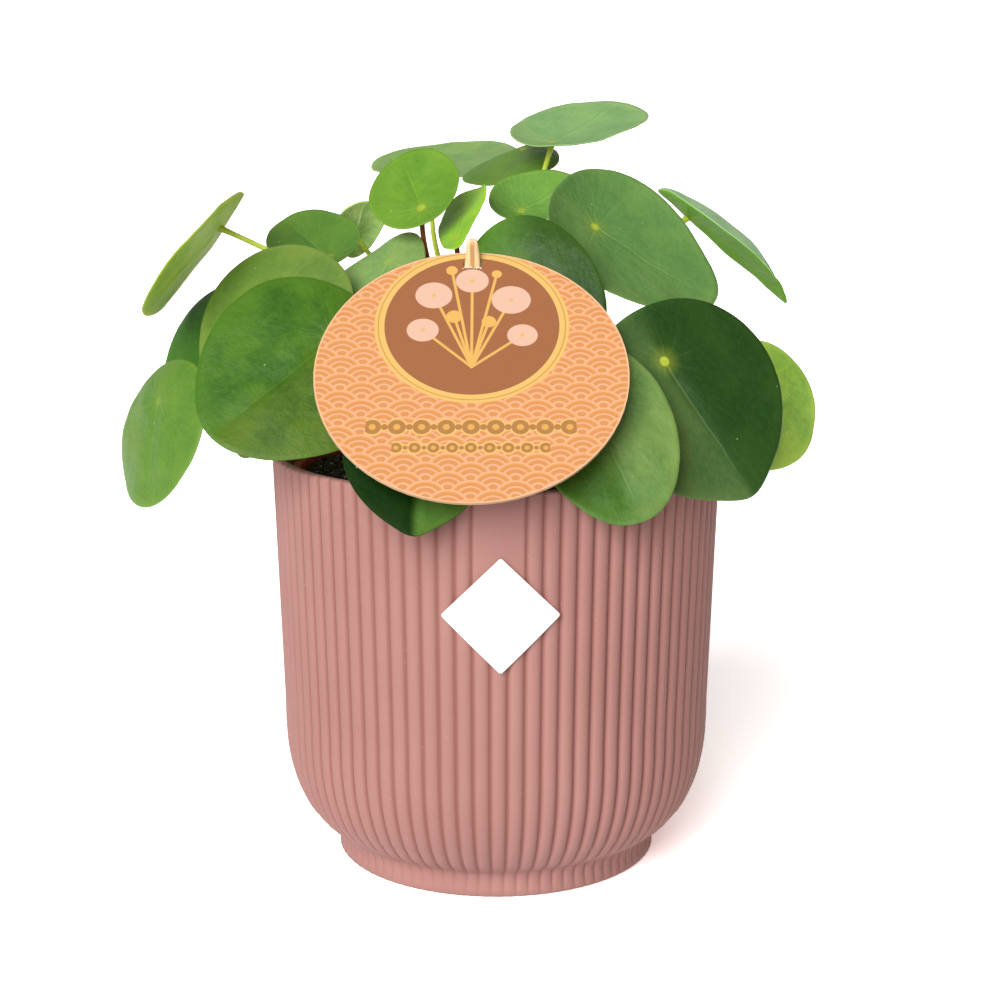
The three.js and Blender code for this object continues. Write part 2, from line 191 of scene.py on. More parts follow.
# hub: where the stalk meets the blade. turn: where the blade faces, from the front towards +X. rise: how far
# it faces up. roll: the tip's turn in the blade's plane. size: length and width. seat: the hub's share of the
# length. egg: + is wider by the tip. tip: how far the tip is drawn out. cup: + bows the rim down. fold: lifts
# both sides from the midrib. foot: the stalk's height on the stem. via: the point it bends towards.
# tone: the blade's colour, and other: that of the half to the right of the midrib, where it differs. On some
# leaves the two hold painted light and shade, noted at their entries.
# soft: half the width of the step between the halves. under: the colour of the underside. wave, crease and
# bulge: how uneven the blade is. blotch: how patchy its colour is. spot: how bright the hub is. shine: how
# much it mirrors. stalk: how red the stalk is.
LEAVES = [
    # the left side, roughly from the top down
    {"hub": (-86.5, 8, 197.5), "turn": -97, "rise": 38, "roll": 25, "size": (49, 48), "foot": 155,
     "via": (-57, 8, 184.5), "seat": 0.27, "egg": 0.3, "cup": -1, "tone": (120, 160, 72),
     "under": (208, 252, 106), "stalk": -0.3},
    {"hub": (-53, 20, 187.5), "turn": -10, "rise": 58, "roll": 229, "size": (32, 29.5), "foot": 154,
     "via": (-44, 22, 170), "seat": 0.25, "cup": -3, "tone": (95, 144, 54), "spot": 0.3},
    {"hub": (-47, 52, 192), "turn": 200, "rise": 44, "roll": 178, "size": (27.5, 16), "foot": 156,
     "via": (-38, 37, 180), "egg": 0.3, "tone": (99, 141, 52), "under": (200, 250, 150)},
    {"hub": (-33, -4, 188), "turn": -30, "rise": 50, "roll": -7, "size": (42.5, 31.5), "foot": 146,
     "via": (-24, 0, 168), "seat": 0.34, "egg": 0.4, "cup": 2, "tone": (137, 180, 99), "spot": 0.3},
    {"hub": (-65.5, -10, 179.5), "turn": -30, "rise": 31, "roll": -9, "size": (56, 54), "foot": 142,
     "via": (-48, 8, 164), "egg": -0.15, "tone": (112, 149, 63), "blotch": 0.5},
    {"hub": (-88.5, 14, 168), "turn": -42, "rise": 28, "roll": 4, "size": (47.5, 44), "foot": 135,
     "via": (-66, 24, 162), "tone": (70, 127, 34)},
    {"hub": (-48, -32, 168), "turn": 1, "rise": 37, "roll": -47, "size": (63, 60), "foot": 138,
     "via": (-36, -12, 150), "seat": 0.25, "egg": -0.2, "cup": 2, "tone": (68, 120, 27),
     "other": (76, 115, 22), "soft": 3, "crease": 0.8, "blotch": 1.35},
    {"hub": (-102, -22, 147.5), "turn": -52, "rise": 22, "roll": 14, "size": (46.5, 44), "foot": 128,
     "via": (-72, -4, 146), "egg": -0.1, "tone": (104, 151, 55), "spot": 0.2},

    # the crown
    # leaf_09: its light tone partly is painted light, of light shining through the thin blade
    {"hub": (-23, 0, 204), "turn": -26, "rise": 42, "roll": 215, "size": (32, 29.5), "foot": 160,
     "via": (-24, 15, 178), "seat": 0.25, "cup": -1, "tone": (111, 164, 49), "stalk": 1.2},
    {"hub": (-20, 92, 215), "turn": -27, "rise": 78, "roll": 45, "size": (55, 50), "foot": 162,
     "via": (-28, 48, 184), "seat": 0.29, "egg": -0.2, "cup": -2, "tone": (139, 189, 100), "stalk": -0.3},
    {"hub": (9, 55.5, 220), "turn": -44, "rise": 70, "roll": 15, "size": (34, 32), "foot": 158,
     "via": (3, 52, 193), "egg": 0.35, "tone": (103, 149, 52)},
    # leaf_12: its light tone partly is painted light, of light shining through the thin blade
    {"hub": (-12.5, -6, 195.5), "turn": -64, "rise": 47, "roll": 227, "size": (35, 18), "foot": 165,
     "via": (-12, 2, 182), "seat": 0.2, "egg": 0.4, "cup": 0, "tone": (150, 212, 54), "crease": 0.25,
     "wave": 1, "stalk": 1},
    {"hub": (18, 33.5, 223), "turn": -25, "rise": 74, "roll": 165, "size": (48, 43.5), "foot": 163,
     "via": (9, 35, 192), "seat": 0.22, "egg": 0.1, "cup": -2, "tone": (142, 196, 116), "stalk": -0.3},
    {"hub": (8, 17.5, 202), "turn": -6, "rise": 60, "roll": 133, "size": (31.5, 28.5), "foot": 166,
     "via": (3, 18, 184), "cup": -3, "tone": (122, 178, 79)},
    {"hub": (31, 9.5, 197.5), "turn": 34, "rise": 42, "roll": 39, "size": (61, 51), "foot": 160,
     "via": (20, 18, 178), "seat": 0.28, "egg": -0.25, "cup": -4, "tone": (108, 159, 84), "crease": 0.2,
     "spot": 1},
    {"hub": (62.5, 34, 199), "turn": 82, "rise": 49, "roll": 6, "size": (53, 30), "foot": 150,
     "via": (36, 34, 180), "seat": 0.25, "egg": 0.2, "tip": 3, "cup": 0, "fold": 6, "tone": (175, 228, 174),
     "under": (108, 174, 18)},
    # leaf_17: its darker right half is a painted shadow of leaf_15 above it
    {"hub": (7, -12, 187.5), "turn": -16, "rise": 18, "roll": 11, "size": (54, 49), "foot": 153,
     "via": (4, -2, 174), "egg": 0.15, "tone": (91, 142, 47), "other": (52, 94, 24), "soft": 8},

    # the front and the right side
    # leaf_18: its darker right half is painted shade, of the half folded away from the light along the midrib
    {"hub": (49.5, -36, 161.5), "turn": 22, "rise": 27, "roll": 25, "size": (61.5, 64), "foot": 138,
     "via": (40, -12, 150), "seat": 0.28, "egg": -0.1, "tip": 3, "cup": 0, "tone": (83, 120, 64),
     "other": (43, 83, 31), "soft": 2.2, "crease": 1, "blotch": 0.6, "wave": 0.8, "spot": 1.6,
     "shine": 0.16},
    # leaf_19: its lighter right half is painted light and its darker left half painted shade, of the bulging
    # blade
    {"hub": (26.5, -52.5, 153.5), "turn": 6, "rise": 34, "roll": 18, "size": (58, 43), "foot": 128,
     "via": (5, -43, 136), "egg": -0.1, "cup": 1, "tone": (75, 123, 41), "other": (113, 155, 80),
     "soft": 6, "bulge": 1.2, "blotch": 0.6},
    # leaf_20: its light tone partly is painted light, of light shining through the thin blade
    {"hub": (84, -2, 151.5), "turn": 23, "rise": 16, "roll": -10, "size": (41, 40), "foot": 130,
     "via": (70, 16, 146), "egg": 0.15, "tone": (164, 217, 89), "wave": 0.9, "blotch": 1, "bulge": 0.9},
    # leaf_21: its very dark left half is painted shade, of the half that lies under the card and is folded
    # away from the light
    {"hub": (-22, -64.5, 144), "turn": 5, "rise": 36, "roll": -4, "size": (39, 41), "foot": 130,
     "via": (-24, -42, 132), "seat": 0.29, "egg": -0.2, "tip": 2, "cup": 2, "tone": (21, 54, 9),
     "other": (86, 130, 53), "soft": 1.5, "crease": 1, "shine": 0.04},

    # the back
    {"hub": (-66, 42, 148), "turn": -120, "rise": 36, "roll": 0, "size": (52, 48), "foot": 133,
     "via": (-52, 32, 134), "tone": (98, 138, 60)},
    {"hub": (-37, 69, 149), "turn": -148, "rise": 34, "roll": 0, "size": (46, 42), "foot": 129,
     "via": (-28, 44, 140), "tone": (114, 154, 70)},
    {"hub": (4, 74, 142), "turn": 178, "rise": 30, "roll": 0, "size": (48, 44), "foot": 131,
     "via": (2, 50, 140), "tone": (88, 130, 54), "other": (108, 142, 62), "blotch": 0.8},
    {"hub": (46, 63, 148), "turn": 150, "rise": 32, "roll": 0, "size": (46, 42), "foot": 134,
     "via": (36, 44, 136), "tone": (74, 116, 46), "spot": 1},
    {"hub": (75, 30, 147), "turn": 108, "rise": 34, "roll": 0, "size": (42, 40), "foot": 132,
     "via": (54, 28, 136), "tone": (104, 144, 72)},
    {"hub": (16, 46, 180), "turn": 165, "rise": 50, "roll": 0, "size": (42, 38), "foot": 150,
     "via": (11, 34, 160), "cup": 2, "tone": (116, 158, 64), "spot": 0.8},
]


def srgb(red, green, blue):
    """The linear colour of an sRGB one from 0 to 255."""
    parts = [value / 255 for value in (red, green, blue)]
    return tuple(p / 12.92 if p <= 0.04045 else ((p + 0.055) / 1.055) ** 2.4 for p in parts) + (1.0,)


def lit(red, green, blue, gain=KEY_GAIN):
    """The linear colour of a surface that shows an sRGB one in the key light."""
    return tuple(part / gain for part in srgb(red, green, blue)[:3]) + (1.0,)


def ink(red, green, blue):
    """The linear colour of a print on the card that shows an sRGB one."""
    return lit(red, green, blue, CARD_GAIN)


def tint(colour, red, green, blue):
    """A linear colour with its parts scaled."""
    return (colour[0] * red, colour[1] * green, colour[2] * blue, 1.0)


# ---- Materials ----


class Number:
    """A number in a node tree. Its operators add Math nodes."""

    def __init__(self, nodes, socket):
        self.nodes = nodes
        self.socket = socket

    def math(self, operation, *others):
        node = self.nodes.node("ShaderNodeMath")
        node.operation = operation
        for slot, value in zip(node.inputs, (self, *others)):
            self.nodes.feed(slot, value)
        return Number(self.nodes, node.outputs[0])

    def __add__(self, other):
        return self.math("ADD", other)

    def __sub__(self, other):
        return self.math("SUBTRACT", other)

    def __mul__(self, other):
        return self.math("MULTIPLY", other)

    def __truediv__(self, other):
        return self.math("DIVIDE", other)

    def __mod__(self, other):
        return self.math("FLOORED_MODULO", other)

    def __lt__(self, other):
        return self.math("LESS_THAN", other)

    def __gt__(self, other):
        return self.math("GREATER_THAN", other)

    def __abs__(self):
        return self.math("ABSOLUTE")

    def either(self, other):
        return self.math("MAXIMUM", other)

    def rest(self):
        """What it leaves of 1."""
        return self * -1 + 1

    def rise(self, start, end):
        """0 up to start and 1 from end, with a smooth step between."""
        node = self.nodes.node("ShaderNodeMapRange", Value=self, From_Min=start, From_Max=end)
        node.interpolation_type = "SMOOTHSTEP"
        return Number(self.nodes, node.outputs["Result"])

    def fall(self, start, end):
        """1 up to start and 0 from end."""
        return self.rise(start, end).rest()


def distance(x, y):
    """How far a point lies from the middle."""
    return (x * x + y * y).math("SQRT")


class Nodes:
    """A node tree, with short names for the nodes that feed its shader."""

    def __init__(self, tree):
        self.tree = tree

    def feed(self, slot, value):
        """Sets an input, or links it to a number or an output."""
        if isinstance(value, Number):
            value = value.socket
        if isinstance(value, bpy.types.NodeSocket):
            self.tree.links.new(value, slot)
        else:
            slot.default_value = value

    def fill(self, node, **inputs):
        """Feeds inputs by their names, with _ for a space."""
        for name, value in inputs.items():
            self.feed(node.inputs[name.replace("_", " ")], value)
        return node

    def node(self, kind, **inputs):
        return self.fill(self.tree.nodes.new(kind), **inputs)

    def split(self, vector):
        parts = self.node("ShaderNodeSeparateXYZ")
        self.feed(parts.inputs[0], vector)
        return [Number(self, out) for out in parts.outputs]

    def join(self, *parts):
        node = self.node("ShaderNodeCombineXYZ")
        for slot, value in zip(node.inputs, parts):
            self.feed(slot, value)
        return node.outputs[0]

    def place(self):
        """The point in the object's own frame, in metres."""
        return self.node("ShaderNodeTexCoord").outputs["Object"]

    def attribute(self, name):
        node = self.node("ShaderNodeAttribute")
        node.attribute_name = name
        return node.outputs["Vector"]

    def noise(self, place, scale, detail=3, roughness=0.5):
        node = self.node("ShaderNodeTexNoise", Vector=place, Scale=scale, Detail=detail, Roughness=roughness)
        return Number(self, node.outputs["Fac"])

    def cells(self, place, scale):
        """The distance to the nearest of scattered points, and a number of that point's own."""
        node = self.node("ShaderNodeTexVoronoi", Vector=place, Scale=scale)
        return Number(self, node.outputs["Distance"]), self.split(node.outputs["Color"])[0]

    def mix(self, share, first, second):
        """A colour that goes from first to second."""
        node = self.node("ShaderNodeMix")
        node.data_type = "RGBA"
        for slot, value in ((0, share), (6, first), (7, second)):
            self.feed(node.inputs[slot], value)
        return node.outputs[2]


class Look(Nodes):
    """A material of one Principled shader."""

    def __init__(self, name, roughness, **settings):
        self.material = bpy.data.materials.new(name)
        self.material.use_nodes = True
        super().__init__(self.material.node_tree)
        self.shader = self.tree.nodes["Principled BSDF"]
        self.fill(self.shader, Roughness=roughness, **settings)

    def paint(self, colour):
        self.fill(self.shader, Base_Color=colour)

    def bump(self, height, depth, strength=1.0):
        """height runs from 0 to 1, over depth in millimetres."""
        node = self.node("ShaderNodeBump", Distance=depth * MM, Strength=strength, Height=height)
        self.fill(self.shader, Normal=node.outputs[0])

    def gloss(self, roughness):
        self.fill(self.shader, Roughness=roughness)


def pot_look():
    """The attribute rib holds how far a point lies in a valley between the ribs, where a painted shade
    darkens and reddens the colour.
    """
    look = Look("pot_plastic", 0.6, Specular_IOR_Level=0.3)
    place = look.place()
    valley = look.split(look.attribute("rib"))[0]
    clouds = look.noise(place, 22, 4)
    grain = look.noise(place, 2600, 2)
    colour = look.mix(clouds.rise(0.3, 0.7), lit(192, 137, 128), lit(200, 145, 136))
    # painted shade: the valleys between the ribs are darkened and reddened, as by their own shadow and
    # bounced light
    colour = look.mix(valley.rise(0.25, 1) * 0.7, colour, lit(152, 88, 75))
    flecks, own = look.cells(place, 420)
    pale = (flecks < 0.11) * (own > 0.8) * 0.35
    look.paint(look.mix(pale, colour, lit(226, 178, 168)))
    look.bump(grain, 0.03, 0.6)
    look.gloss(clouds * 0.12 + 0.54)
    return look.material


def label_look():
    look = Look("label_white", 0.42, Coat_Weight=0.15)
    place = look.place()
    fibre = look.noise(place, 900, 3)
    look.paint(look.mix(fibre, srgb(244, 243, 240), srgb(250, 249, 248)))
    look.bump(fibre, 0.02, 0.4)
    return look.material


def grow_pot_look():
    look = Look("grow_pot_plastic", 0.35)
    place = look.place()
    clouds = look.noise(place, 60, 4)
    dust = look.noise(place, 500, 5, 0.7)
    colour = look.mix(clouds, srgb(166, 58, 46), srgb(202, 84, 68))
    look.paint(look.mix(dust.rise(0.6, 0.75) * 0.5, colour, srgb(70, 56, 46)))
    look.bump(dust, 0.05, 0.5)
    look.gloss(dust * 0.3 + 0.2)
    return look.material


def soil_look():
    """The attribute grain holds, for a loose grain, how pale it is."""
    look = Look("soil_peat", 0.95, Specular_IOR_Level=0.3)
    place = look.place()
    pale = look.split(look.attribute("grain"))[0]
    crumbs = look.noise(place, 700, 6, 0.7)
    peat = look.mix(crumbs.rise(0.45, 0.75), srgb(24, 18, 15), srgb(104, 84, 70))
    stone = look.mix(crumbs.rise(0.3, 0.7), srgb(180, 168, 152), srgb(255, 250, 240))
    look.paint(look.mix(pale, peat, stone))
    look.bump(crumbs, 0.6)
    return look.material


def stem_look():
    look = Look("stem_bark", 0.7)
    place = look.place()
    up = look.split(place)[2]
    blotch = look.noise(place, 260, 5, 0.65)
    bark = look.mix(blotch.rise(0.35, 0.7), srgb(74, 54, 34), srgb(132, 108, 66))
    green = look.mix(blotch, srgb(92, 112, 44), srgb(142, 156, 76))
    look.paint(look.mix(up.rise(0.14, 0.17), bark, green))
    look.bump(blotch, 0.35)
    return look.material


def stick_look():
    look = Look("stick_wood", 0.6)
    x, y, z = look.split(look.place())
    grain = look.noise(look.join(x * 8, y * 8, z * 0.35), 420, 5, 0.6)
    streak = look.noise(look.join(x * 5, y * 5, z * 0.12), 700, 3)
    wood = look.mix(grain.rise(0.3, 0.7), srgb(208, 170, 112), srgb(236, 208, 160))
    from_core = abs(x + (streak - 0.5) * 0.0008 - STICK_AT[0] * MM)
    core = from_core.fall(0.0003, 0.0011) * 0.8
    colour = look.mix(core, wood, srgb(166, 112, 48))
    look.paint(look.mix(z.rise(0.194, 0.1965) * 0.5, colour, srgb(250, 228, 190)))
    look.bump(grain, 0.12)
    return look.material


def card_place(look):
    """The point in the card's plane in millimetres from its middle, across and up, and out of its face."""
    x, y, z = look.split(look.place())

    def along(direction):
        total = x * (direction[0] / MM) + y * (direction[1] / MM) + z * (direction[2] / MM)
        return total - CARD_AT.dot(direction)

    return along((1, 0, 0)), along(CARD_UP), along(CARD_OUT)


def wave_share(across, up):
    """How far a point lies from the middle of its scale in the wave pattern, from 0 to 1."""
    row_height = WAVE_RADIUS / 2
    rows = up / row_height
    row = rows.math("FLOOR")
    above = rows - row
    shift = row % 2 * WAVE_RADIUS
    aside = abs((across - shift + WAVE_RADIUS) % (2 * WAVE_RADIUS) - WAVE_RADIUS)
    other = aside * -1 + WAVE_RADIUS
    below = distance(other, (above + 1) * row_height)
    level = distance(aside, above * row_height)
    over = distance(other, (above - 1) * row_height)
    in_below = below < WAVE_RADIUS
    in_level = (level < WAVE_RADIUS) * in_below.rest()
    in_over = in_below.rest() * in_level.rest()
    return (below * in_below + level * in_level + over * in_over) / WAVE_RADIUS


def disc(across, up, middle, radius, stretch=1.0):
    """1 inside a round or stretched disc of the print."""
    away = distance((across - middle[0]) / stretch, up - middle[1])
    return away.fall(radius - DISC_BLUR, radius + DISC_BLUR)


def bar(across, up, start, end, half_width):
    """1 near the line from start to end."""
    run = Vector(end) - Vector(start)
    length = run.length
    run /= length
    dx = across - start[0]
    dy = up - start[1]
    along = (dx * run.x + dy * run.y).math("MAXIMUM", 0).math("MINIMUM", length)
    away = distance(dx - along * run.x, dy - along * run.y)
    return away.fall(half_width - BAR_BLUR, half_width + BAR_BLUR)


def bead_rows(look, across, up, colour):
    """Rows of round brown beads with a yellow rim and a small one between every two."""
    for height, half_length, pitch, radius in BEAD_ROWS:
        inside = abs(across) < half_length
        beads = (across + pitch / 2) % pitch - pitch / 2
        small = across % pitch - pitch / 2
        middle = (0, height)
        rim = disc(beads, up, middle, radius + 0.6).either(disc(small, up, middle, radius * 0.4 + 0.5))
        fill = disc(beads, up, middle, radius).either(disc(small, up, middle, radius * 0.4))
        hole = disc(beads, up, middle, radius * 0.4)
        colour = look.mix(rim * inside, colour, ink(255, 204, 124))
        colour = look.mix(fill * inside, colour, ink(196, 140, 78))
        colour = look.mix(hole * inside, colour, ink(246, 186, 96))
    return colour


def medallion(look, across, up, paper, colour):
    """The round field with its yellow border and the sprig of flowers."""
    middle = (0, MEDALLION_UP)
    groove = (MEDALLION_RADIUS + MEDALLION_INSIDE) / 2 + 0.5
    yellow = ink(255, 207, 119)
    gold = ink(250, 198, 106)
    brown = look.mix(paper, ink(174, 110, 68), ink(182, 118, 76))
    rounds = [(MEDALLION_RADIUS, yellow), (groove, ink(222, 166, 88)), (groove - 0.35, yellow),
              (MEDALLION_INSIDE, brown)]
    for radius, tone in rounds:
        colour = look.mix(disc(across, up, middle, radius), colour, tone)
    for x, y, _ in SPRIG_FLOWERS + SPRIG_BUDS:
        colour = look.mix(bar(across, up, SPRIG_FOOT, (x, y), SPRIG_STALK), colour, gold)
    for x, y, radius in SPRIG_FLOWERS:
        colour = look.mix(disc(across, up, (x, y), radius, 1.1), colour, ink(253, 206, 178))
        colour = look.mix(disc(across, up, (x, y), 0.6), colour, gold)
    for x, y, radius in SPRIG_BUDS:
        colour = look.mix(disc(across, up, (x, y), radius), colour, gold)
    return colour


def card_look():
    look = Look("card_print", 0.5, Specular_IOR_Level=0.3)
    across, up, out = card_place(look)
    paper = look.noise(look.place(), 1500, 3)
    share = wave_share(across, up)
    bands = share.fall(WAVE_MIDDLE - WAVE_BLUR, WAVE_MIDDLE)
    for start, end in WAVE_BANDS:
        bands = bands + share.rise(start, start + WAVE_BLUR) * share.fall(end - WAVE_BLUR, end)
    ground = look.mix(paper, ink(253, 190, 146), ink(255, 196, 152))
    band = look.mix(share.rise(0.8, 0.92), ink(238, 162, 96), ink(255, 184, 112))
    colour = look.mix(bands, ground, band)
    colour = bead_rows(look, across, up, colour)
    colour = medallion(look, across, up, paper, colour)

    from_middle = distance(across, up)
    edge = from_middle.rise(CARD_RADIUS - 0.6, CARD_RADIUS - 0.45)
    colour = look.mix(edge, colour, ink(255, 208, 160))
    side = (out < -0.1).either(from_middle > CARD_RADIUS - 0.12)
    look.paint(look.mix(side, colour, ink(228, 182, 138)))
    look.bump(paper, 0.015, 0.5)
    return look.material


def tear_look():
    look = Look("torn_card", 0.8)
    fibre = look.noise(look.place(), 2500, 3)
    look.paint(look.mix(fibre, srgb(226, 214, 198), srgb(255, 252, 246)))
    return look.material


def blade_look(name, leaf, tone, other, upper):
    """One face of a blade. Its attribute holds the distance from the hub towards the tip and across, in
    millimetres, and the share of the way to the rim."""
    look = Look(name, 0.42, Specular_IOR_Level=leaf["shine"])
    along, aside, share = look.split(look.attribute("blade"))
    from_hub = distance(along, aside) + 0.01
    shifted = look.join(along + leaf["seed"] * 37, aside + leaf["seed"] * 19, share * 0)
    sway = look.noise(shifted, 0.07, 2) - 0.5

    patches = look.noise(shifted, 0.07, 4, 0.6).rise(0.4, 0.62)
    mottle = look.noise(shifted, 0.5, 4, 0.65).rise(0.3, 0.7)
    # streaks that run out from the hub, and rings of growth round it
    streaks = look.noise(look.join(along / from_hub * 7, aside / from_hub * 7, from_hub * 0.05), 1.5, 3)
    streaks = streaks.rise(0.3, 0.7)

    # the step between the halves is sharp along the midrib, and wide behind the hub
    width = (along * -0.5).either(leaf["soft"])
    from_midrib = aside + sway * 1.5
    right = (from_midrib / width).rise(-1, 1)
    # on some leaves the two halves' colours carry painted light and shade
    base = look.mix(right, tone, other)
    dark = look.mix(right, tint(tone, 0.62, 0.74, 0.7), tint(other, 0.62, 0.74, 0.7))
    light = look.mix(right, tint(tone, 1.65, 1.3, 1.2), tint(other, 1.65, 1.3, 1.2))
    blotch = leaf["blotch"]
    colour = look.mix(mottle.rest() * (0.25 + 0.4 * blotch), base, dark)
    colour = look.mix(patches * (0.2 + 0.55 * blotch), colour, light)
    colour = look.mix(streaks * 0.16, colour, light)

    angle = aside.math("ARCTAN2", along)
    turns = angle * (VEINS / (2 * math.pi)) + sway * 0.6
    to_vein = abs(turns - turns.math("ROUND")) * (2 * math.pi / VEINS) * from_hub
    veins = to_vein.fall(0.1, 0.7) * from_hub.fall(4, 17) * from_hub.rise(0.8, 2)
    in_front = along.rise(0, 3) * share.fall(0.6, 0.97)
    midrib = abs(from_midrib).fall(0.15, 0.6) * in_front
    # a painted shadow: a dark line along one side of the midrib, stronger on leaves with more crease
    painted_midrib_shadow = abs(from_midrib - 0.9).fall(0.2, 1.1) * in_front
    vein_share = 0.06 if upper else 0.16
    midrib_share = 0.05 + 0.13 * leaf["crease"] if upper else 0.25
    colour = look.mix(veins * vein_share, colour, tint(tone, 2.6, 2, 2))
    colour = look.mix(painted_midrib_shadow * (0.4 * leaf["crease"]), colour, dark)
    colour = look.mix(midrib * midrib_share, colour, tint(tone, 2.6, 2.1, 2.2))

    spot = lit(214, 232, 74)
    colour = look.mix(from_hub.fall(1, 6) * 0.14 * leaf["spot"], colour, spot)
    colour = look.mix(from_hub.fall(0.7, 1.9) * leaf["spot"], colour, spot)
    rim_band = share.rise(0.9 - 0.06 * blotch, 0.97)
    colour = look.mix(rim_band * (0.2 + 0.35 * blotch), colour, light)
    edge = tint(tone, 1.8, 1.6, 1.6) if upper else tint(tone, 0.6, 0.6, 0.6)
    colour = look.mix(share.rise(0.986, 0.995) * 0.35, colour, edge)
    specks, own = look.cells(shifted, 0.3)
    colour = look.mix((specks < 0.07) * (own > 0.86) * 0.6, colour, lit(226, 236, 206))
    look.paint(colour)

    vein_lift, midrib_lift = (-0.3, -0.5) if upper else (0.35, 0.5)
    relief = streaks * 0.25 + mottle * 0.4 + veins * vein_lift + midrib * midrib_lift
    look.bump(relief, 0.35, 0.6)
    look.gloss(mottle * 0.1 + (0.38 if upper else 0.5))
    return look.material


def stalk_look():
    """The attribute blade holds the share of the way up and how red the stalk is."""
    look = Look("leaf_stalk", 0.5, Specular_IOR_Level=0.2)
    up, redness, _ = look.split(look.attribute("blade"))
    streaks = look.noise(look.place(), 300, 3)
    green = look.mix(streaks, lit(168, 190, 52, 1), lit(206, 218, 84, 1))
    red = look.mix(streaks, lit(134, 62, 38, 1), lit(170, 96, 56, 1))
    redness = redness + up.rest() * 0.3 + (streaks - 0.5) * 0.3
    look.paint(look.mix(redness.rise(0.3, 0.9), green, red))
    look.bump(streaks, 0.1)
    return look.material


def floor_look():
    tone = (FLOOR_TONE, FLOOR_TONE, FLOOR_TONE, 1)
    return Look("floor_white", 0.9, Specular_IOR_Level=0.1, Base_Color=tone, Emission_Color=(1, 1, 1, 1),
                Emission_Strength=FLOOR_GLOW).material


# ---- Meshes ----


def add_object(name, data):
    """Puts a mesh, a light or a camera in the scene."""
    thing = bpy.data.objects.new(name, data)
    bpy.context.scene.collection.objects.link(thing)
    return thing


def add_piece(name, points, faces, materials, nodes, face_looks=None, attribute=None):
    """Adds a smooth mesh that stands for the CAD nodes. attribute is its name and a value for each point."""
    mesh = bpy.data.meshes.new(name)
    mesh.from_pydata((np.asarray(points, float) * MM).tolist(), [], [tuple(map(int, f)) for f in faces])
    for material in materials:
        mesh.materials.append(material)
    if face_looks is not None:
        mesh.polygons.foreach_set("material_index", np.asarray(face_looks, np.int32))
    if attribute:
        values = mesh.attributes.new(attribute[0], "FLOAT_VECTOR", "POINT")
        values.data.foreach_set("vector", np.asarray(attribute[1], np.float32).ravel())
    mesh.polygons.foreach_set("use_smooth", [True] * len(mesh.polygons))
    mesh.update()
    piece = add_object(name, mesh)
    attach(piece, "root")
    if nodes:
        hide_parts(*nodes)
    return piece


def circle(sides):
    """The angles of points round a full turn."""
    return np.arange(sides) * 2 * np.pi / sides


def hump(value, middle, width):
    """1 at the middle, falling off on both sides."""
    return np.exp(-(((value - middle) / width) ** 2))


def stack(rings, start, end):
    """The points and faces of a closed solid. The point start closes the first ring, and end the last."""
    count = len(rings[0])
    ring = np.arange(count)
    after = (ring + 1) % count
    points = np.concatenate([*rings, [start, end]])
    last = (len(rings) - 1) * count
    faces = []
    for low in range(0, last, count):
        high = low + count
        faces += np.stack([low + ring, low + after, high + after, high + ring], 1).tolist()
    faces += np.stack([np.full(count, len(points) - 2), after, ring], 1).tolist()
    faces += np.stack([np.full(count, len(points) - 1), last + ring, last + after], 1).tolist()
    return points, faces


def turned(radius, angle, height):
    """Points at angles that run from the front towards +X."""
    radius, angle, height = np.broadcast_arrays(radius, angle, height)
    return np.stack([radius * np.sin(angle), -radius * np.cos(angle), height], -1)


def lathe(name, profile, sides, material, node):
    """A turned piece. Its profile starts and ends on the axis and runs counterclockwise round its section."""
    rings = [turned(radius, circle(sides), height) for radius, height in profile[1:-1]]
    points, faces = stack(rings, (0, 0, profile[0][1]), (0, 0, profile[-1][1]))
    return add_piece(name, points, faces, [material], [node])


def wall_radius(height):
    """The radius of the outer pot over its rib crests, above its foot."""
    radius, bend = WALL_BEND
    if height >= bend:
        return radius + (height - bend) * WALL_FLARE / (POT_HEIGHT - bend)
    return radius - BEND_INSET * ((bend - height) / BEND_DROP) ** 3


def rib_fall(angle):
    """How far the ribs fall back from their crests, 0 on a crest and 1 in a valley."""
    turns = angle / RIB_PITCH
    return np.abs(2 * (turns - np.round(turns))) ** RIB_SHARPNESS


def band_share(angle, height):
    """How much of the smooth band a point of the outer pot has, from 0 to 1."""
    from_middle = np.abs((angle + np.pi) % (2 * np.pi) - np.pi) / RIB_PITCH
    aside = np.clip((BAND_RIBS / 2 - from_middle) / BAND_EDGE, 0, 1)
    upwards = np.clip((height - BAND_START) / (BAND_FULL - BAND_START), 0, 1)
    return aside * upwards ** 2 * (3 - 2 * upwards)


def outer_pot(material):
    angles = circle(RIBS * POINTS_PER_RIB)
    heights = np.linspace(POT_WALL_START, POT_WALL_END, POT_WALL_LEVELS)
    outside = [*POT_FOOT, *([wall_radius(height), height] for height in heights), *POT_RIM]
    rings = []
    marks = []
    for crest, height in outside:
        band = band_share(angles, height)
        depth = min(1, FOOT_RIBS + (1 - FOOT_RIBS) * height / RIBS_FULL)
        valley = rib_fall(angles) * (1 - band) * depth
        rings.append(turned(crest - RIB_DEPTH * valley - BAND_SETBACK * band, angles + POT_FACING, height))
        # the valley depth also goes to the attribute rib, which the pot's look uses for painted shade
        marks.append(np.tile(valley[:, None], 3))
    for radius, height in POT_INSIDE:
        rings.append(turned(radius, angles + POT_FACING, height))
    points, faces = stack(rings, (0, 0, 0), (0, 0, POT_INSIDE[-1][1]))
    marks.append(np.zeros((len(points) - len(marks) * len(angles), 3)))
    return add_piece("pot_ribbed", points, faces, [material], ["outer_pot"],
                     attribute=("rib", np.concatenate(marks)))


